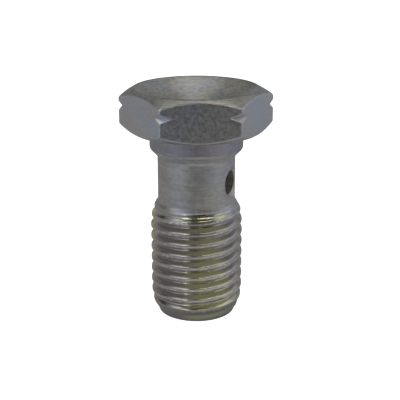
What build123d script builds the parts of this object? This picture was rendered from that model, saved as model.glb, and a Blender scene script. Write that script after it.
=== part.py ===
from build123d import *
import math
import os

# A banjo bolt: an M12 x 1.5 screw with a hexagon head for a 17 mm spanner. A bore from the threaded end and a
# cross hole in the shank carry oil or brake fluid to the fitting that the head clamps.
# The origin is the middle of the end face, +Z runs up the axis to the head, and one flat of the head faces -Y.
# Lengths are in millimetres. Angles are in degrees, and those about the axis start at the flat that faces -Y.

# Hexagon head
head_across_flats = 17.0
head_height = 5.5
head_corner_radius = 0.3
head_chamfer_angle = 30.0  # of both chamfers, from a plane square to the axis
rim_diameter = 15.9  # where the top chamfer meets the flat rim
seat_diameter = 16.2  # where the bottom chamfer meets the sealing face
dish_diameter = 15.5
dish_angle = 120.0  # included angle of the cone
dish_floor_diameter = 4.0
groove_diameter = 18.6  # over the bottom of the V-groove, which nicks only the corners
groove_angle = 90.0
groove_below_top = 2.2

# Collar and shank
grip_length = 24.4  # from the sealing face to the end
collar_length = 2.2
shank_diameter = 10.0
shank_cone_angle = 45.0  # from the axis

# Rolled thread
thread_diameter = 12.0
thread_allowance = 0.05  # a screw's crests lie a little inside the thread's nominal diameter
thread_root_diameter = 10.16
thread_pitch = 1.5
thread_length = 15.3  # from the end to the bare shank
thread_start = -54.5  # where the crest would cross the end plane
lead_in_length = 4.0  # over which the crests rise to their full height
end_face_diameter = 9.6
end_chamfer_diameter = 11.44
end_chamfer_length = 1.15
run_out_length = 3.2  # over which the crests fade into the shank
run_out_cone_diameter = 11.5
run_out_cone_length = 1.2

# Fluid way
bore_diameter = 6.0
bore_chamfer = 0.5
bore_past_cross_hole = 1.2
drill_point_angle = 118.0
cross_hole_diameter = 3.1
cross_hole_below_head = 6.4
cross_hole_turn = 62.0
cross_hole_countersink = 0.43

# Places that follow from the sizes above
collar_diameter = thread_diameter  # the eye of the fitting passes the thread and centres on the collar
seat = grip_length
top = seat + head_height
collar_bottom = seat - collar_length
cross_hole = seat - cross_hole_below_head
clear = 1.0  # how far a cutter runs past the surface that it opens


def cone_height(angle, small_diameter, large_diameter):
    """How far a cone runs along its axis between two diameters, for the angle between its side and its axis."""
    return (large_diameter - small_diameter) / 2 / math.tan(math.radians(angle))


def turned(*outline):
    """The solid that an outline of (radius, height) points sweeps about the axis."""
    return revolve(Plane.XZ * make_face(Polyline(*outline, close=True)), Axis.Z)


def blank():
    """The turned body below the head, with the tapers that the crests of the thread will follow at both ends."""
    thread_r, shank_r, collar_r = thread_diameter / 2, shank_diameter / 2, collar_diameter / 2
    shank_top = collar_bottom - cone_height(shank_cone_angle, shank_diameter, collar_diameter)
    return turned(
        (0, 0), (end_face_diameter / 2, 0), (end_chamfer_diameter / 2, end_chamfer_length),
        (thread_r, lead_in_length), (thread_r, thread_length - run_out_length),
        (run_out_cone_diameter / 2, thread_length - run_out_cone_length), (shank_r, thread_length),
        (shank_r, shank_top), (collar_r, collar_bottom), (collar_r, seat + clear), (0, seat + clear),
    )


def thread_turns():
    """The V of the thread, turn by turn, from a turn below the end to beyond the run-out.

    Each V is a little wider than the pitch at the surface of the blank, so that neighbours meet in a sharp crest.
    """
    root_r = thread_root_diameter / 2
    crest_r = (thread_diameter - thread_allowance) / 2
    mouth_r = crest_r + thread_allowance * 2
    mouth_half = thread_pitch / 2 * (mouth_r - root_r) / (crest_r - root_r)
    section = Polyline((root_r, 0), (mouth_r, -mouth_half), (mouth_r, mouth_half), close=True)
    turn = sweep(Plane.XZ * make_face(section), path=Helix(thread_pitch, thread_pitch, root_r), is_frenet=True)
    turn = Rot(0, 0, thread_start - 90) * turn  # the sweep starts at +X
    first = -thread_pitch - thread_pitch / 2  # the root lies half a pitch from the crest
    count = math.ceil((thread_length - first) / thread_pitch) + 1
    return [Pos(0, 0, first + i * thread_pitch) * turn for i in range(count)]


def head():
    """The hexagon, turned to a chamfer at both ends, with the nicked corners and the dish."""
    corner_r = head_across_flats / math.sqrt(3)
    hexagon = RegularPolygon(head_across_flats / 2, 6, major_radius=False)
    hexagon = fillet(hexagon.vertices(), head_corner_radius)
    bar = Pos(0, 0, seat) * extrude(hexagon, head_height)
    rim_r, seat_r = rim_diameter / 2, seat_diameter / 2
    fall = math.tan(math.radians(head_chamfer_angle))
    chamfered = turned(
        (0, seat), (seat_r, seat), (corner_r, seat + (corner_r - seat_r) * fall),
        (corner_r, top - (corner_r - rim_r) * fall), (rim_r, top), (0, top),
    )
    return (bar & chamfered) - corner_groove(corner_r) - dish()


def corner_groove(corner_r):
    """The ring that cuts the V-groove round the head."""
    height = top - groove_below_top
    bottom_r = groove_diameter / 2
    outer_r = corner_r + clear
    half = (outer_r - bottom_r) * math.tan(math.radians(groove_angle / 2))
    return turned((bottom_r, height), (outer_r, height - half), (outer_r, height + half))


def dish():
    """The cutter for the conical dish in the head, with its small flat floor."""
    floor = top - cone_height(dish_angle / 2, dish_floor_diameter, dish_diameter)
    mouth_r = dish_diameter / 2 + clear * math.tan(math.radians(dish_angle / 2))
    return turned((0, floor), (dish_floor_diameter / 2, floor), (mouth_r, top + clear), (0, top + clear))


def bore():
    """The drilled bore, from its chamfered mouth in the end face to the point of the drill."""
    bore_r = bore_diameter / 2
    depth = cross_hole + cross_hole_diameter / 2 + bore_past_cross_hole
    point = depth + cone_height(drill_point_angle / 2, 0, bore_diameter)
    mouth_r = bore_r + bore_chamfer + clear
    return turned((0, -clear), (mouth_r, -clear), (bore_r, bore_chamfer), (bore_r, depth), (0, point))


def cross_passage():
    """The countersunk hole through one side of the shank, from the bore outwards."""
    hole_r = cross_hole_diameter / 2
    shank_r = shank_diameter / 2
    upward = (Align.CENTER, Align.CENTER, Align.MIN)
    hole = Cylinder(hole_r, shank_r + clear, align=upward)
    sink_height = cross_hole_countersink + clear
    sink = Pos(0, 0, shank_r - cross_hole_countersink) * Cone(hole_r, hole_r + sink_height, sink_height, align=upward)
    turn = math.radians(cross_hole_turn)
    outward = Plane(origin=(0, 0, cross_hole), z_dir=(math.sin(turn), -math.cos(turn), 0))
    return outward * (hole + sink)


def bolt():
    """The whole bolt, one piece of steel."""
    drilled = blank() + head() - bore() - cross_passage()
    return drilled.cut(*thread_turns())


os.makedirs("parts", exist_ok=True)
export_step(bolt(), "parts/bolt.step")
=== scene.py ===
import math

import bmesh
import bpy
from mathutils import Matrix, Vector


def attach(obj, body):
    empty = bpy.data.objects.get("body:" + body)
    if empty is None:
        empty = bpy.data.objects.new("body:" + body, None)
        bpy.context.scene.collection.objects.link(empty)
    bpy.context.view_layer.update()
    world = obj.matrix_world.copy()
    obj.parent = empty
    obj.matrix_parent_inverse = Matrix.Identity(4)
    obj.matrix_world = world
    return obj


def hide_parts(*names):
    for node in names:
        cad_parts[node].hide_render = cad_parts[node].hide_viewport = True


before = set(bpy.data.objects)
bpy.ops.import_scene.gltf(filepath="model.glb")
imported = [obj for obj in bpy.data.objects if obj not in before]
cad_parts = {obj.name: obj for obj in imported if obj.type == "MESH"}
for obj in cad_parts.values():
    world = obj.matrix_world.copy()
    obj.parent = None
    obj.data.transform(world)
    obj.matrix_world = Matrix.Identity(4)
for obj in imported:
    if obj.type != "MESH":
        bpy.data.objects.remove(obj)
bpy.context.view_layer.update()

# ---- The rolled thread ----
# An M12 x 1.5 thread, pressed by rolling dies into a steel blank that is turned down at both ends. The metal
# flows up into round crests, and the grooves fade out over the end and over the shoulder to the shank. The bolt
# is one piece of steel, so the sections below add to one skin, in millimetres, from the thread upwards.
PITCH = 1.5
CREST_R = 5.975
CREST_WIDTH = 0.46
CREST_ROUNDING = 0.10
FLANK_SLOPE = math.tan(math.radians(30))  # from a plane square to the axis, for flanks that meet at 60 degrees
ROOT_ROUNDING = 0.27
FRONT_CREST = 0.227  # height of the first crest above the end, at the front
THREAD_TOP = 15.8
SHANK_R = 5.0
SHANK_FILLET = 0.10
# the blank's outline as straight runs: a height, the radius there, the rise in radius for each mm upwards and
# how softly the run meets the others
BLANK = (
    (0.0, 4.75, 1.0, 0.06),
    (0.6, 5.31, 0.60, 0.14),
    (1.5, 5.79, 0.11, 0.30),
    (8.0, CREST_R, 0.0, 0.06),
    (12.1, 6.0, -0.125, 0.06),
    (14.1, 5.72, -0.52, 0.06),
    (14.95, 5.26, -1.5, 0.06),
)
GROOVE_FOOT = 0.2  # where the dies begin to press at the end
GROOVE_LEAD_IN = 3.2
GROOVE_HEAD = 15.0  # where they let go at the shank
GROOVE_RUN_OUT = 2.2
SHANK_SKIN = GROOVE_HEAD - 0.3  # above this the skin has the shank's finish
TURN_STEPS = 120
TURNS_BELOW = 2  # turns made below the end, to be cut away
LONG_EDGE = 0.3  # edges of the tooth that are longer than this are divided
WELD = 0.004  # vertices nearer than this become one
ON_PLANE = 0.00001


def soft_min(a, b, blend):
    """The smaller of two lengths, with a round corner where they cross."""
    overlap = max(blend - abs(a - b), 0.0) / blend
    return min(a, b) - overlap * overlap * blend / 4


def clamp(share):
    """A share kept between 0 and 1."""
    return min(max(share, 0.0), 1.0)


def share_of(value, start, stop):
    """How far a value has gone from start to stop, from 0 to 1, with a soft start and end."""
    share = clamp((value - start) / (stop - start))
    return share * share * (3 - 2 * share)


def blank_radius(height):
    """The blank's radius at a height, with a small fillet where its shoulder meets the shank."""
    radius = math.inf
    for at, start, rise, blend in BLANK:
        radius = soft_min(radius, start + (height - at) * rise, blend)
    return -soft_min(-radius, -SHANK_R, SHANK_FILLET)


def groove_share(height):
    """How much of the groove the dies have pressed at a height."""
    foot = share_of(height, GROOVE_FOOT, GROOVE_FOOT + GROOVE_LEAD_IN)
    return foot * (1 - share_of(height, GROOVE_HEAD - GROOVE_RUN_OUT, GROOVE_HEAD))


def wire(mesh, points):
    """A line of edges through (radius, height) points, on the front side of the axis. Returns its vertices."""
    line = [mesh.verts.new((0, -radius, height)) for radius, height in points]
    for pair in zip(line, line[1:]):
        mesh.edges.new(pair)
    return line


def round_off(mesh, corners, length):
    """Rounds corners of a line, each from this length before it to this length behind it."""
    bmesh.ops.bevel(
        mesh, geom=corners, offset=length, offset_type="OFFSET", segments=4, profile=0.5, affect="VERTICES",
        material=-1,
    )


def turn_round(mesh, steps, climb=0.0):
    """Spins a line once round the axis. It closes on itself, unless it climbs."""
    bmesh.ops.spin(
        mesh, geom=mesh.verts[:] + mesh.edges[:], cent=(0, 0, 0), axis=(0, 0, 1), dvec=(0, 0, climb / steps),
        angle=math.tau, steps=steps, use_merge=climb == 0.0,
    )


def vertices(parts):
    """The vertices among some parts of a mesh."""
    return [part for part in parts if isinstance(part, bmesh.types.BMVert)]


bolt = bmesh.new()
middle_of_root = CREST_R - (PITCH / 2 - CREST_WIDTH / 2) / FLANK_SLOPE
tooth = wire(
    bolt,
    (
        (CREST_R, 0), (CREST_R, CREST_WIDTH / 2), (middle_of_root, PITCH / 2),
        (CREST_R, PITCH - CREST_WIDTH / 2), (CREST_R, PITCH),
    ),
)
round_off(bolt, (tooth[1], tooth[3]), CREST_ROUNDING)
round_off(bolt, (tooth[2],), ROOT_ROUNDING)
bmesh.ops.subdivide_edges(bolt, edges=[edge for edge in bolt.edges if edge.calc_length() > LONG_EDGE], cuts=2)
turn_round(bolt, TURN_STEPS, climb=PITCH)
first_turn = bolt.verts[:] + bolt.edges[:] + bolt.faces[:]
for turn in range(1, math.ceil(THREAD_TOP / PITCH) + TURNS_BELOW + 1):
    copied = bmesh.ops.duplicate(bolt, geom=first_turn)["geom"]
    bmesh.ops.translate(bolt, verts=vertices(copied), vec=(0, 0, turn * PITCH))
bmesh.ops.translate(bolt, verts=bolt.verts[:], vec=(0, 0, FRONT_CREST - TURNS_BELOW * PITCH))
bmesh.ops.remove_doubles(bolt, verts=bolt.verts[:], dist=WELD)
for vert in bolt.verts:
    radius = vert.co.xy.length
    vert.co.xy *= (blank_radius(vert.co.z) - (CREST_R - radius) * groove_share(vert.co.z)) / radius
THREAD, SHANK, FLATS, DISH, BORE = range(5)  # the finishes, in the order of the bolt's material slots
for face in bolt.faces:
    face.material_index = SHANK if face.calc_center_median().z > SHANK_SKIN else THREAD
for height, above in ((0.0, False), (THREAD_TOP, True)):
    bmesh.ops.bisect_plane(
        bolt, geom=bolt.verts[:] + bolt.edges[:] + bolt.faces[:], dist=ON_PLANE, plane_co=(0, 0, height),
        plane_no=(0, 0, 1), clear_outer=above, clear_inner=not above,
    )

MM = 0.001  # in metres, which the materials read
MICRON = 0.001 * MM
SHARE, FIRST, SECOND, MIXED = 0, 6, 7, 2  # a colour mix's three inputs and its output, by number
DARKEST_AT, CLEAR_AT = 0.36, 0.64  # a pattern's values where it darkens a film the most, and not at all


def linear(code):
    """A colour given as sRGB hex, as the linear numbers that a shader takes."""
    parts = [int(code[i:i + 2], 16) / 255 for i in (1, 3, 5)]
    return [c / 12.92 if c <= 0.04045 else ((c + 0.055) / 1.055) ** 2.4 for c in parts] + [1.0]


def to_a_mm(*marks):
    """The scale of a pattern with this many marks in a millimetre along X, Y and Z."""
    return [number / MM for number in marks]


def add(tree, kind, settings=None, links=None):
    """Adds a node to a material, with its settings and what feeds it, and returns its first output.

    The stops of a colour ramp are rows of a place on it and a colour.
    """
    made = tree.nodes.new("ShaderNode" + kind)
    for name, value in (settings or {}).items():
        if name == "stops":
            for _ in value[2:]:
                made.color_ramp.elements.new(0.5)
            for stop, (at, tint) in zip(made.color_ramp.elements, value):
                stop.position = at
                stop.color = linear(tint)
        elif isinstance(name, str) and hasattr(made, name):
            setattr(made, name, value)
        else:
            made.inputs[name].default_value = value
    for name, source in (links or {}).items():
        tree.links.new(source, made.inputs[name])
    return made.outputs[0]


def plated_steel(name):
    """Starts a metal. Returns it with its node tree, its shader's sockets and the place on the bolt."""
    steel = bpy.data.materials.new(name)
    steel.use_nodes = True
    sockets = steel.node_tree.nodes["Principled BSDF"].inputs
    sockets["Metallic"].default_value = 1
    return steel, steel.node_tree, sockets, add(steel.node_tree, "TexCoord").node.outputs["Object"]


def shade(tree, film, pattern, darkest):
    """Darkens a film along a pattern, down to the darkest grey that it may be multiplied by."""
    greys = add(tree, "ValToRGB", {"stops": ((DARKEST_AT, darkest), (CLEAR_AT, "#FFFFFF"))}, {"Fac": pattern})
    shaded = add(
        tree, "Mix", {"data_type": "RGBA", "blend_type": "MULTIPLY", SHARE: 1.0}, {FIRST: film, SECOND: greys},
    )
    return shaded.node.outputs[MIXED]


# Zinc over rolled steel: the dies burnish it, so it is the smoothest skin on the bolt. The film over the upper
# flanks runs to straw, the lower flanks are greyer and also painted darker as painted shade under the crests, and
# the crests carry a broken line of rubbed zinc. The film changes over 6 to 7 mm, and its rubbed beads are 0.4 mm
# long. The metal's flow lines, 0.11 mm apart, and its pits, 0.2 mm wide, are drawn about twice as coarse as they
# are.
# colours by place in a turn: the root, the lower flank painted dark as painted shade, the crest and the straw upper
# flank
STRAW_AND_UNDERSIDE_SHADE_STOPS = (
    (0.0, "#DCDBD2"), (0.12, "#B2AEAC"), (0.40, "#B6B1B0"), (0.52, "#D2CEC8"), (0.64, "#E8E6BE"),
    (0.96, "#E6E4B6"),
)
GREY_FILM = "#BDB9B5"
RUBBED_ZINC = "#F4EFEA"
STRIP_COUNT = 3  # broad strips of straw and grey round the axis
STRIP_TURN = -0.62
STRIP_DEPTH = 0.22
LIP_PLACE = 0.45  # just below the middle of a crest, which is at 0.5
rolled, tree, shader, place = plated_steel("zinc_on_rolled_thread")
parts = add(tree, "SeparateXYZ", None, {"Vector": place}).node.outputs
forward = add(tree, "Math", {"operation": "MULTIPLY", 1: -1}, {0: parts["Y"]})
angle = add(tree, "Math", {"operation": "ARCTAN2"}, {0: parts["X"], 1: forward})
climb = add(
    tree, "Math", {"operation": "MULTIPLY_ADD", 1: 1 / (PITCH * MM), 2: 0.5 - FRONT_CREST / PITCH}, {0: parts["Z"]},
)
wound = add(tree, "Math", {"operation": "MULTIPLY_ADD", 1: -1 / math.tau}, {0: angle, 2: climb})
# the place within one turn: 0.5 on a crest, rising through the flank above it
turn_place = add(tree, "Math", {"operation": "FRACT"}, {0: wound})
flank_tint_and_shade = add(tree, "ValToRGB", {"stops": STRAW_AND_UNDERSIDE_SHADE_STOPS}, {"Fac": turn_place})
patches = add(
    tree, "Mapping", {"Scale": to_a_mm(0.18, 0.18, 0.14), "Location": (0.3, 0.1, 0.0)}, {"Vector": place},
)
patches = add(tree, "TexNoise", {"Scale": 1.0, "Detail": 2.0}, {"Vector": patches})
strips = add(tree, "Math", {"operation": "MULTIPLY_ADD", 1: STRIP_COUNT, 2: STRIP_TURN}, {0: angle})
strips = add(tree, "Math", {"operation": "COSINE"}, {0: strips})
strips = add(tree, "Math", {"operation": "MULTIPLY_ADD", 1: STRIP_DEPTH}, {0: strips, 2: patches})
strips = add(tree, "MapRange", {"From Min": 0.40, "From Max": 0.74}, {"Value": strips})
film = add(tree, "Mix", {"data_type": "RGBA", FIRST: linear(GREY_FILM)}, {SHARE: strips, SECOND: flank_tint_and_shade})
off_lip = add(tree, "Math", {"operation": "SUBTRACT", 1: LIP_PLACE}, {0: turn_place})
off_lip = add(tree, "Math", {"operation": "ABSOLUTE"}, {0: off_lip})
lip = add(tree, "MapRange", {"From Min": 0.09, "From Max": 0.03}, {"Value": off_lip})
flat_place = add(tree, "VectorMath", {"operation": "MULTIPLY", 1: (1, 1, 0)}, {0: place})
reach = add(tree, "VectorMath", {"operation": "LENGTH"}, {0: flat_place}).node.outputs["Value"]
full_crest = add(tree, "MapRange", {"From Min": 5.6 * MM, "From Max": 5.8 * MM}, {"Value": reach})
lip = add(tree, "Math", {"operation": "MULTIPLY"}, {0: lip, 1: full_crest})
beads = add(tree, "Mapping", {"Scale": to_a_mm(2.6, 2.6, 5)}, {"Vector": place})
beads = add(tree, "TexNoise", {"Scale": 1.0, "Detail": 3.0}, {"Vector": beads})
beads = add(tree, "MapRange", {"From Min": 0.46, "From Max": 0.62}, {"Value": beads})
rubbed = add(tree, "Math", {"operation": "MULTIPLY"}, {0: lip, 1: beads})
film = add(
    tree, "Mix", {"data_type": "RGBA", SECOND: linear(RUBBED_ZINC)},
    {SHARE: rubbed, FIRST: film.node.outputs[MIXED]},
)
tree.links.new(film.node.outputs[MIXED], shader["Base Color"])
tree.links.new(
    add(tree, "MapRange", {"To Min": 0.26, "To Max": 0.20}, {"Value": rubbed}), shader["Roughness"],
)
flow = add(tree, "Mapping", {"Scale": to_a_mm(0.7, 0.7, 9)}, {"Vector": place})
flow = add(tree, "TexNoise", {"Scale": 1.0, "Detail": 2.0}, {"Vector": flow})
relief = add(tree, "Bump", {"Distance": 1.5 * MICRON}, {"Height": flow})
relief = add(tree, "Bump", {"Distance": 10 * MICRON}, {"Height": rubbed, "Normal": relief})
pits = add(tree, "Mapping", {"Scale": to_a_mm(4.5, 4.5, 4.5)}, {"Vector": place})
pits = add(tree, "TexNoise", {"Scale": 1.0, "Detail": 2.0}, {"Vector": pits})
relief = add(tree, "Bump", {"Distance": 1.2 * MICRON}, {"Height": pits, "Normal": relief})
tree.links.new(relief, shader["Normal"])

# ---- Shank and collar ----
# Above the thread the blank is turned to a plain shank, which widens by a cone to the collar that centres the
# eye of the fitting. The collar ends in the sealing face under the head.
SEAT = 24.4
COLLAR_R = 6.0
COLLAR_BOTTOM = 22.2
CONE_BOTTOM = 21.19
CONE_ROUNDING = 0.25
SEAT_ROUNDING = 0.15
JOINT = 0.06  # height of the band that joins the thread to the turned outline


def run(start, stop, count):
    """Points evenly spaced from one (radius, height) point to another, without the first."""
    return [
        (start[0] + (stop[0] - start[0]) * i / count, start[1] + (stop[1] - start[1]) * i / count)
        for i in range(1, count + 1)
    ]


shank_foot = (SHANK_R, THREAD_TOP + JOINT)
shank_head = (SHANK_R, CONE_BOTTOM)
collar_foot = (COLLAR_R, COLLAR_BOTTOM)
collar_head = (COLLAR_R, SEAT)
outline = [shank_foot] + run(shank_foot, shank_head, count=16) + [collar_foot, collar_head]
softened = {CONE_ROUNDING: [shank_head, collar_foot], SEAT_ROUNDING: [collar_head]}

# Zinc over turned steel: satin, with a faint mottle 0.5 mm wide in a film that changes over 4 to 5 mm. The collar's
# film is violet and painted a little darker, as painted shade. The turning lines round the axis only just show.
# They are drawn 0.17 mm apart, about twice as coarse as they are.
VIOLET_TINT_AND_PAINTED_SHADE = "#ECE8F2"
NOISE_LOW, NOISE_HIGH = 0.3, 0.7  # a noise pattern keeps mostly between these
turned, tree, shader, place = plated_steel("zinc_on_turned_shank")
film = add(tree, "Mapping", {"Scale": to_a_mm(0.26, 0.26, 0.2)}, {"Vector": place})
film = add(tree, "TexNoise", {"Scale": 1.0, "Detail": 2.0}, {"Vector": film})
film = add(tree, "ValToRGB", {"stops": ((0.38, "#CDD0D6"), (0.50, "#D1D1D2"), (0.62, "#D2D0CB"))}, {"Fac": film})
lines = add(tree, "Mapping", {"Scale": to_a_mm(0.33, 0.33, 6)}, {"Vector": place})
lines = add(tree, "TexNoise", {"Scale": 1.0, "Detail": 3.0}, {"Vector": lines})
mottle = add(tree, "Mapping", {"Scale": to_a_mm(1.9, 1.9, 1.9)}, {"Vector": place})
mottle = add(tree, "TexNoise", {"Scale": 1.0, "Detail": 3.0}, {"Vector": mottle})
parts = add(tree, "SeparateXYZ", None, {"Vector": place}).node.outputs
below_collar = add(tree, "MapRange", {"From Min": 22.6 * MM, "From Max": 22.0 * MM}, {"Value": parts["Z"]})
# the collar is tinted violet and painted darker here, as painted shade
film = shade(tree, film, below_collar, VIOLET_TINT_AND_PAINTED_SHADE)
film = shade(tree, film, lines, "#ECECEC")
tree.links.new(shade(tree, film, mottle, "#EEEEEE"), shader["Base Color"])
dullness = {"From Min": NOISE_LOW, "From Max": NOISE_HIGH, "To Min": 0.37, "To Max": 0.49}
tree.links.new(add(tree, "MapRange", dullness, {"Value": mottle}), shader["Roughness"])
relief = add(tree, "Bump", {"Distance": 2.6 * MICRON}, {"Height": lines})
relief = add(tree, "Bump", {"Distance": 5 * MICRON}, {"Height": mottle, "Normal": relief})
tree.links.new(relief, shader["Normal"])

# ---- Head ----
# A hexagon for a 17 mm spanner, cold formed with the blank and turned on both faces: a chamfer at each end, a
# V-shaped nick round the corners, and a wide conical dish with a small flat floor.
TOP = 29.9
FLAT_R = 8.5
HALF_FLAT = math.radians(30)  # from the middle of a flat to a corner, about the axis
HEX_CORNER_R = 0.3
CORNER_CENTRE = (FLAT_R - HEX_CORNER_R) / math.cos(HALF_FLAT)  # of a corner's rounding, from the axis
CORNER_R = CORNER_CENTRE + HEX_CORNER_R
RIM_R = 7.95
SEAT_R = 8.1
FALL = math.tan(math.radians(30))  # of both chamfers
NICK_Z = 27.7
NICK_R = 9.2
NICK_HALF = 0.66
NICK_ROUNDING = 0.06
DISH_R = 7.75
DISH_HALF_ANGLE = math.radians(60)
FLOOR_R = 2.0
TOP_EDGE = 0.22  # rounding of the edge between the top chamfer and the flats
LOW_EDGE = 0.16
RIM_EDGE = 0.08
HEAD_STEPS = 240
SIDE_BAND = 0.1  # faces this near to the widest radius are the hexagon's sides
ROUND_R = COLLAR_R + 0.2  # the seat stays round within this radius
DRAWN_R = SEAT_R - 0.2  # and takes the spacing of the hexagon's steps from this one outwards
CORNER_DRAW = 0.35  # share of its distance from a corner that a step near it keeps
STRAIGHT = 0.5  # the sides keep their heights within this of the middle of the nick
ROUNDED_SHARE = 0.99  # of an edge's rounding, where the side is taken to end
OUTERMOST = 0.9999  # share of the way out to the corners from which a vertex lies on a side
TINY = 0.001
ON_SEAT = 0.01
chamfer_top = TOP - (CORNER_R - RIM_R) * FALL
chamfer_bottom = SEAT + (CORNER_R - SEAT_R) * FALL
floor_z = TOP - (DISH_R - FLOOR_R) / math.tan(DISH_HALF_ANGLE)
seat_edge, low_corner, top_corner = (SEAT_R, SEAT), (CORNER_R, chamfer_bottom), (CORNER_R, chamfer_top)
below_nick = (CORNER_R, NICK_Z - NICK_HALF)
above_nick = (CORNER_R, NICK_Z + NICK_HALF)
rim, dish_edge, floor_edge = (RIM_R, TOP), (DISH_R, TOP), (FLOOR_R, floor_z)
outline += [seat_edge, low_corner] + run(low_corner, below_nick, count=4)
outline += run(below_nick, above_nick, count=24) + run(above_nick, top_corner, count=2)
outline += [rim, dish_edge] + run(dish_edge, floor_edge, count=8) + [(0, floor_z)]
softened[LOW_EDGE] = [seat_edge, low_corner, floor_edge]
softened[TOP_EDGE] = [top_corner]
softened[RIM_EDGE] = [rim, dish_edge]
upper = bmesh.new()
line = wire(upper, outline)
corner_sets = {length: [line[outline.index(corner)] for corner in corners] for length, corners in softened.items()}
for length, corners in corner_sets.items():
    round_off(upper, corners, length)
turn_round(upper, HEAD_STEPS)
bmesh.ops.remove_doubles(upper, verts=upper.verts[:], dist=WELD / 2)
for face in upper.faces:
    middle = face.calc_center_median()
    if middle.z < SEAT + ON_SEAT:
        face.material_index = SHANK
    else:
        face.material_index = FLATS if middle.xy.length > CORNER_R - SIDE_BAND else DISH


def hexagon_radius(turn):
    """How far the hexagon reaches, at an angle from the middle of one of its flats."""
    aside = CORNER_CENTRE * math.sin(HALF_FLAT - abs(turn))  # of the corner's centre, from this direction
    if aside < HEX_CORNER_R * math.sin(HALF_FLAT):
        return CORNER_CENTRE * math.cos(HALF_FLAT - abs(turn)) + math.sqrt(HEX_CORNER_R ** 2 - aside ** 2)
    return FLAT_R / math.cos(turn)


def to_hexagon(vert):
    """Moves a vertex of the turned head to its place on the hexagon."""
    radius = vert.co.xy.length
    height = vert.co.z
    if height < SEAT - TINY or radius < ROUND_R:
        return
    if height < SEAT + TINY:
        fade = clamp((radius - ROUND_R) / (DRAWN_R - ROUND_R))
    else:
        fade = radius / DISH_R if radius < DISH_R else 1
    # the spin's steps are brought closer together at the corners
    angle = math.atan2(vert.co.x, -vert.co.y)
    flat_turn = round(angle / (2 * HALF_FLAT)) * 2 * HALF_FLAT
    turn = angle - flat_turn
    corner = (HALF_FLAT - abs(turn)) / HALF_FLAT
    drawn = corner * (CORNER_DRAW + (1 - CORNER_DRAW) * corner * corner)
    turn = math.copysign(HALF_FLAT * (1 - (corner + (drawn - corner) * fade)), turn)
    # the chamfers fall outwards, so their edges are lowest at the corners
    reach = hexagon_radius(turn)
    if height > NICK_Z:
        side, inner, edge_height, edge = 1, RIM_R, chamfer_top, TOP_EDGE
    else:
        side, inner, edge_height, edge = -1, SEAT_R, chamfer_bottom, LOW_EDGE
    if radius > inner:
        share = (radius - inner) / (CORNER_R - inner)
        fall = (CORNER_R - reach) * FALL * side
        if share > OUTERMOST:
            moving = side * (edge_height - NICK_Z) - edge * ROUNDED_SHARE - STRAIGHT
            height += fall * clamp((side * (height - NICK_Z) - STRAIGHT) / moving)
            radius = soft_min(reach, NICK_R + abs(height - NICK_Z), NICK_ROUNDING)
        else:
            height += fall * share
            radius = inner + share * (reach - inner)
    angle = turn + flat_turn
    vert.co = (radius * math.sin(angle), -radius * math.cos(angle), height)


for vert in upper.verts:
    to_hexagon(vert)
skin = bpy.data.meshes.new("joining")
upper.to_mesh(skin)
bolt.from_mesh(skin)
bpy.data.meshes.remove(skin)
upper.free()


def open_ring(low, high):
    """The open edges of the skin between two heights."""
    return [edge for edge in bolt.edges if edge.is_boundary and low < edge.verts[0].co.z < high]


bmesh.ops.bridge_loops(bolt, edges=open_ring(SHANK_R, SEAT))

# Zinc over cold formed steel: the flats keep the fine pitted grain of tumbled steel, so they are the dullest
# faces, with shallow dents 0.6 to 0.7 mm wide under a film that changes over 6 mm. The grain is drawn 0.28 mm
# wide, about twice as coarse as it is.
formed, tree, shader, place = plated_steel("zinc_on_formed_flats")
film = add(tree, "Mapping", {"Scale": to_a_mm(0.17, 0.17, 0.17)}, {"Vector": place})
film = add(tree, "TexNoise", {"Scale": 1.0, "Detail": 2.0}, {"Vector": film})
film = add(tree, "ValToRGB", {"stops": ((0.38, "#CCD2DC"), (0.50, "#D2D2D3"), (0.62, "#D3D2CE"))}, {"Fac": film})
grain = add(tree, "Mapping", {"Scale": to_a_mm(3.6, 3.6, 3.6)}, {"Vector": place})
grain = add(tree, "TexNoise", {"Scale": 1.0, "Detail": 3.0}, {"Vector": grain})
tree.links.new(shade(tree, film, grain, "#EFEFEF"), shader["Base Color"])
dullness = {"From Min": NOISE_LOW, "From Max": NOISE_HIGH, "To Min": 0.34, "To Max": 0.48}
tree.links.new(add(tree, "MapRange", dullness, {"Value": grain}), shader["Roughness"])
relief = add(tree, "Bump", {"Distance": 5 * MICRON}, {"Height": grain})
dents = add(tree, "Mapping", {"Scale": to_a_mm(1.4, 1.4, 1.8)}, {"Vector": place})
dents = add(tree, "TexNoise", {"Scale": 1.0, "Detail": 2.0}, {"Vector": dents})
relief = add(tree, "Bump", {"Distance": 3 * MICRON}, {"Height": dents, "Normal": relief})
tree.links.new(relief, shader["Normal"])

# Zinc over faced steel: the facing tool leaves broken rings in the dish and on the chamfer, under a film that
# changes over 4 mm. The chamfer is drawn a little darker, and the dish is painted darker towards its floor as
# painted shade in the hollow. The rings are drawn 0.18 mm apart and the specks 0.25 mm wide, about twice as coarse
# as they are.
faced, tree, shader, place = plated_steel("zinc_on_faced_dish")
parts = add(tree, "SeparateXYZ", None, {"Vector": place}).node.outputs
flat_place = add(tree, "VectorMath", {"operation": "MULTIPLY", 1: (1, 1, 0)}, {0: place})
reach = add(tree, "VectorMath", {"operation": "LENGTH"}, {0: flat_place}).node.outputs["Value"]
film = add(
    tree, "Mapping", {"Scale": to_a_mm(0.24, 0.24, 0.24), "Location": (0.0, 0.4, 0.0)}, {"Vector": place},
)
film = add(tree, "TexNoise", {"Scale": 1.0, "Detail": 2.0}, {"Vector": film})
film = add(tree, "ValToRGB", {"stops": ((0.36, "#D2D5D8"), (0.50, "#D6D6D4"), (0.64, "#D6D5CA"))}, {"Fac": film})
rings = add(tree, "CombineXYZ", None, {"X": parts["X"], "Y": parts["Y"], "Z": reach})
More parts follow.
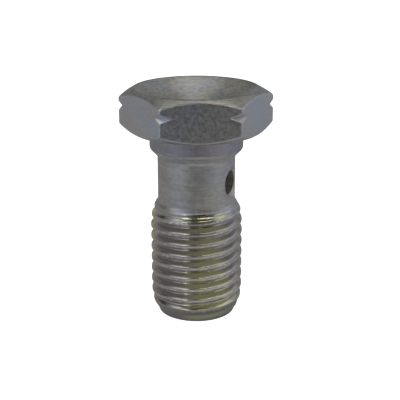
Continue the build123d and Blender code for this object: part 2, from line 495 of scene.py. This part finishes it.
rings = add(tree, "Mapping", {"Scale": to_a_mm(1.5, 1.5, 5.5)}, {"Vector": rings})
rings = add(tree, "TexNoise", {"Scale": 1.0, "Detail": 3.0}, {"Vector": rings})
within_rim = add(tree, "MapRange", {"From Min": 8.0 * MM, "From Max": 7.9 * MM}, {"Value": reach})
up_the_dish = add(tree, "MapRange", {"From Min": 2.5 * MM, "From Max": 8.0 * MM}, {"Value": reach})
film = shade(tree, film, within_rim, "#E4E4E4")
# painted shade: the dish darkens towards its floor
film = shade(tree, film, up_the_dish, "#E8E8E8")
tree.links.new(shade(tree, film, rings, "#D8D8D6"), shader["Base Color"])
dullness = {"From Min": NOISE_LOW, "From Max": NOISE_HIGH, "To Min": 0.30, "To Max": 0.42}
tree.links.new(add(tree, "MapRange", dullness, {"Value": rings}), shader["Roughness"])
relief = add(tree, "Bump", {"Distance": 8 * MICRON}, {"Height": rings})
specks = add(tree, "Mapping", {"Scale": to_a_mm(4, 4, 4)}, {"Vector": place})
specks = add(tree, "TexNoise", {"Scale": 1.0, "Detail": 2.0}, {"Vector": specks})
relief = add(tree, "Bump", {"Distance": 1.5 * MICRON}, {"Height": specks, "Normal": relief})
tree.links.new(relief, shader["Normal"])

# ---- Fluid way ----
# A bore drilled up the axis from its chamfered mouth in the end face, with the cone of the drill's point at the
# top, and a cross hole into it through one side of the shank, countersunk to take off the burr.
BORE_R = 3.0
BORE_CHAMFER = 0.5
BORE_PAST_CROSS_HOLE = 1.2
DRILL_HALF_ANGLE = math.radians(59)
CROSS_Z = 18.0
CROSS_R = 1.55
CROSS_TURN = math.radians(62)
CROSS_STEPS = 64
COUNTERSINK = 0.43
CUTTER_START = 0.5  # from the axis, well inside the bore
CLEAR = 1  # how far the cutter runs past the skin
SHARP = math.radians(32)  # edges that turn by more than this stay sharp
depth = CROSS_Z + CROSS_R + BORE_PAST_CROSS_HOLE
point = depth + BORE_R / math.tan(DRILL_HALF_ANGLE)
mouth = [(BORE_R + BORE_CHAMFER, 0), (BORE_R, BORE_CHAMFER)]
wall = run((BORE_R, BORE_CHAMFER), (BORE_R, depth), count=40)
ring = open_ring(-1, 1)  # the edge of the end face
for radius, height in mouth + wall + [(0, point)]:
    grown = bmesh.ops.extrude_edge_only(bolt, edges=ring)["geom"]
    ring = [part for part in grown if isinstance(part, bmesh.types.BMEdge)]
    for vert in vertices(grown):
        vert.co.xy *= radius / vert.co.xy.length
        vert.co.z = height
    for part in grown:
        if isinstance(part, bmesh.types.BMFace):
            part.material_index = BORE if height > BORE_CHAMFER else SHANK
bmesh.ops.remove_doubles(bolt, verts=vertices(grown), dist=WELD / 4)
bmesh.ops.recalc_face_normals(bolt, faces=bolt.faces[:])

# Zinc over drilled steel: thinly plated and darker, because little of the plating current reaches inside, with
# the drill's spiral scratches. They are drawn 0.2 mm apart, about twice as coarse as they are.
drilled, tree, shader, place = plated_steel("zinc_in_drilled_bore")
spiral = add(tree, "Mapping", {"Scale": to_a_mm(0.5, 0.5, 5), "Rotation": (0.2, 0.0, 0.0)}, {"Vector": place})
spiral = add(tree, "TexNoise", {"Scale": 1.0, "Detail": 2.0}, {"Vector": spiral})
film = add(tree, "ValToRGB", {"stops": ((0.35, "#C0BCB4"), (0.50, "#CECAC2"), (0.65, "#DAD5C8"))}, {"Fac": spiral})
tree.links.new(film, shader["Base Color"])
dullness = {"From Min": NOISE_LOW, "From Max": NOISE_HIGH, "To Min": 0.45, "To Max": 0.65}
tree.links.new(add(tree, "MapRange", dullness, {"Value": spiral}), shader["Roughness"])
tree.links.new(add(tree, "Bump", {"Distance": 6 * MICRON}, {"Height": spiral}), shader["Normal"])


def piece_from(mesh, name):
    """Makes a bmesh an object with the bolt's finishes."""
    skin = bpy.data.meshes.new(name)
    mesh.to_mesh(skin)
    mesh.free()
    for steel in (rolled, turned, formed, faced, drilled):
        skin.materials.append(steel)
    piece = bpy.data.objects.new(name, skin)
    bpy.context.scene.collection.objects.link(piece)
    return piece


body = piece_from(bolt, "bolt_body")
drill = bmesh.new()
wire(
    drill,
    (
        (0, CUTTER_START), (CROSS_R, CUTTER_START), (CROSS_R, SHANK_R - COUNTERSINK),
        (CROSS_R + COUNTERSINK + CLEAR, SHANK_R + CLEAR), (0, SHANK_R + CLEAR),
    ),
)
turn_round(drill, CROSS_STEPS)
bmesh.ops.remove_doubles(drill, verts=drill.verts[:], dist=WELD / 2)
bmesh.ops.recalc_face_normals(drill, faces=drill.faces[:])
for face in drill.faces:
    face.material_index = BORE if abs(face.normal.z) < TINY else SHANK  # the wall, and the countersink
outward = Vector((math.sin(CROSS_TURN), -math.cos(CROSS_TURN), 0))
aim = Matrix.Translation((0, 0, CROSS_Z)) @ outward.to_track_quat("Z", "Y").to_matrix().to_4x4()
bmesh.ops.transform(drill, matrix=aim, verts=drill.verts[:])
cutter = piece_from(drill, "drill")
cut = body.modifiers.new("cross_hole", "BOOLEAN")
cut.operation = "DIFFERENCE"
cut.solver = "EXACT"
cut.object = cutter
skin = bpy.data.meshes.new_from_object(body.evaluated_get(bpy.context.evaluated_depsgraph_get()))
body.modifiers.clear()
body.data = skin
bpy.data.objects.remove(cutter)
skin.transform(Matrix.Scale(MM, 4))
for face in skin.polygons:
    face.use_smooth = True
skin.set_sharp_from_angle(angle=SHARP)
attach(body, "root")
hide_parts("bolt")

# ---- Studio ----
# The bolt stands on white paper in a ring of soft panels, and all else is dark. The paper shows to the camera
# alone.
# The metal mirrors a grey bench that glows a little, two dark cards in front of the bolt, two brighter glowing
# sheets nearer to it as a painted pool of light, and a dimmer one under its end as a painted shadow.
HALF_FLOOR = 3  # metres
# two opposite corners of each mirrored sheet, its height, its colour and its glow
MIRRORED = {
    "bench": ((-HALF_FLOOR, -HALF_FLOOR), (HALF_FLOOR, HALF_FLOOR), -0.00004, "#808080", 0.19),
    "card": ((-0.045, -0.45), (0.05, -0.060), -0.00003, "#303030", 0.0),
    "card_side": ((0.045, -0.075), (0.085, -0.045), -0.00003, "#303030", 0.0),
    # patch and patch_far glow as a painted pool of light round the bolt, and foot_shadow is a painted shadow
    "patch": ((-0.012, -0.032), (0.018, 0.005), -0.000025, "#808080", 0.31),
    "patch_far": ((0.001, -0.056), (0.065, -0.012), -0.00003, "#808080", 0.36),
    "foot_shadow": ((-0.009, -0.009), (0.009, 0.009), -0.00002, "#606060", 0.15),
}


def stage_sheet(name, low, high, height, colour, glow):
    """A flat sheet of the studio between two corners, which is not part of the bolt."""
    plane = bmesh.new()
    bmesh.ops.create_grid(plane, x_segments=1, y_segments=1, size=0.5)
    bmesh.ops.scale(plane, verts=plane.verts[:], vec=(high[0] - low[0], high[1] - low[1], 1))
    middle = ((low[0] + high[0]) / 2, (low[1] + high[1]) / 2, height)
    bmesh.ops.translate(plane, verts=plane.verts[:], vec=middle)
    skin = bpy.data.meshes.new(name)
    plane.to_mesh(skin)
    plane.free()
    sheet = bpy.data.objects.new(name, skin)
    bpy.context.scene.collection.objects.link(sheet)
    paper = bpy.data.materials.new(name)
    paper.use_nodes = True
    shader = paper.node_tree.nodes["Principled BSDF"].inputs
    shader["Base Color"].default_value = linear(colour)
    shader["Roughness"].default_value = 0.9
    shader["Emission Color"].default_value = (1, 1, 1, 1)
    shader["Emission Strength"].default_value = glow
    skin.materials.append(paper)
    return sheet


floor = stage_sheet("floor", (-HALF_FLOOR, -HALF_FLOOR), (HALF_FLOOR, HALF_FLOOR), -0.00001, "#F2F2F2", 1.0)
floor.visible_glossy = False
floor.visible_diffuse = False
floor.visible_shadow = False
for name, sheet in MIRRORED.items():
    stage_sheet(name, *sheet).visible_camera = False

PANEL_DISTANCE = 0.35
PANEL_CENTRE = Vector((0, 0, 0.015))  # the middle of the bolt, which every panel faces
# azimuth from the front and elevation in degrees, size in metres, brightness and colour: small bright panels that
# draw the highlights, and then a ring of wide ones
PANELS = (
    (-37, 37, 0.085, 3.7, "#F2FAFF"),
    (-36, 13, 0.06, 5.0, "#F2FAFF"),
    (10, 40, 0.065, 4.0, "#FFF8CC"),
    (30, 38, 0.06, 4.2, "#DCDCFF"),
    (70, 75, 0.12, 1.2, "#F6F0FF"),
    (-84, 58, 0.11, 2.2, "#FFFFF6"),
    (88, 54, 0.20, 0.24, "#FFFCF0"),
    (175, 76, 0.10, 0.20, "#FFFFF0"),
    (-60, 38, 0.17, 0.30, "#FFFCEC"),
    (-60, 8, 0.17, 0.95, "#E7EAFF"),
    (60, 38, 0.17, 0.46, "#FFFAEC"),
    (90, 38, 0.17, 0.46, "#FFFAEC"),
    (60, 8, 0.17, 0.80, "#D4E2FF"),
    (90, 8, 0.17, 0.85, "#D4E2FF"),
    (120, 8, 0.17, 0.45, "#E8F0FF"),
    (120, 38, 0.17, 0.42, "#FFFFFF"),
    (150, 8, 0.17, 0.31, "#FFFFFF"),
    (180, 8, 0.17, 0.31, "#FFFFFF"),
    (-150, 8, 0.17, 0.30, "#FFFFFF"),
    (-120, 8, 0.17, 0.30, "#FFFFFF"),
    (-90, 8, 0.17, 0.30, "#FFFFFF"),
    (-90, 38, 0.17, 0.30, "#FFFFFF"),
    (-150, 38, 0.17, 0.30, "#FFFFFF"),
    (150, 38, 0.17, 0.30, "#FFFFFF"),
    (-135, 72, 0.17, 0.57, "#FFFFFF"),
    (135, 72, 0.17, 0.57, "#FFFFFF"),
)
for number, (azimuth, elevation, size, brightness, colour) in enumerate(PANELS):
    turn, rise = math.radians(azimuth), math.radians(elevation)
    way = Vector((math.sin(turn) * math.cos(rise), -math.cos(turn) * math.cos(rise), math.sin(rise)))
    data = bpy.data.lights.new("panel_%d" % number, "AREA")
    data.shape = "RECTANGLE"
    data.size = data.size_y = size
    data.energy = brightness * math.pi * size ** 2  # a panel is as bright to look at, whatever its size
    data.color = linear(colour)[:3]
    panel = bpy.data.objects.new(data.name, data)
    panel.location = way * PANEL_DISTANCE + PANEL_CENTRE
    panel.rotation_euler = way.to_track_quat("Z", "Y").to_euler()
    panel.visible_camera = False
    bpy.context.scene.collection.objects.link(panel)
world = bpy.data.worlds.new("studio")
world.use_nodes = True
world.node_tree.nodes["Background"].inputs["Color"].default_value = (0, 0, 0, 1)
bpy.context.scene.world = world

# The camera stands about 12 cm in front of the bolt, a little to its left, and looks down by 18 degrees.
CAMERA_PLACE = (-0.00705, -0.11494, 0.05229)
CAMERA_AIM = Vector((0.06205, 0.94930, -0.30819))
lens = bpy.data.cameras.new("camera")
lens.lens = 83.58
lens.sensor_width = 36
lens.clip_start = 0.005
camera = bpy.data.objects.new("camera", lens)
camera.location = CAMERA_PLACE
camera.rotation_euler = CAMERA_AIM.to_track_quat("-Z", "Y").to_euler()
bpy.context.scene.collection.objects.link(camera)
bpy.context.scene.camera = camera
bpy.context.scene.view_settings.view_transform = "Standard"
